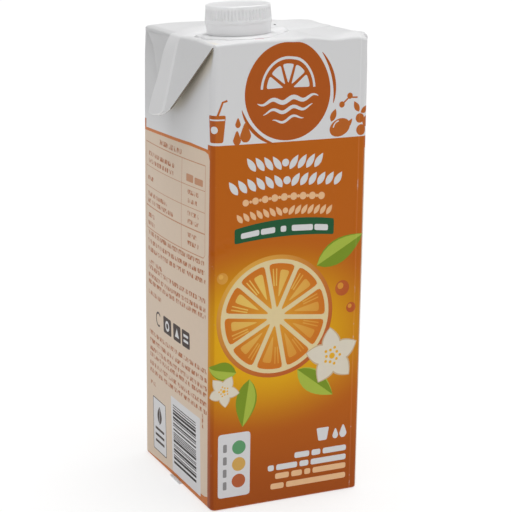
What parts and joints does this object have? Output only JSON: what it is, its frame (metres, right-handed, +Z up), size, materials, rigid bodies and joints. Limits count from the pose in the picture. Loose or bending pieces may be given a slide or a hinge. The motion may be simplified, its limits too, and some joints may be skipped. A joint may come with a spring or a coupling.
{
  "type": "juice carton",
  "caption": "Upright brick carton for one litre of juice, shut, with folded top ears, a seal fin and a ribbed screw cap over a tamper band.",
  "frame": {"origin": "centre of the underside, on the surface that the carton stands on", "axes": "+Z up along the carton, front panel towards -Y, nutrition panel towards -X"},
  "size_m": [0.0882, 0.0796, 0.2102],
  "materials": {
    "printed_board": "coated board, printed in orange, beige and white, satin gloss",
    "white_plastic": "white moulded polyethylene, soft gloss"
  },
  "bodies": {
    "root": {"carton": "printed_board", "spout_flange": "white_plastic", "tamper_band": "white_plastic", "cap": "white_plastic"}
  },
  "joints": []
}
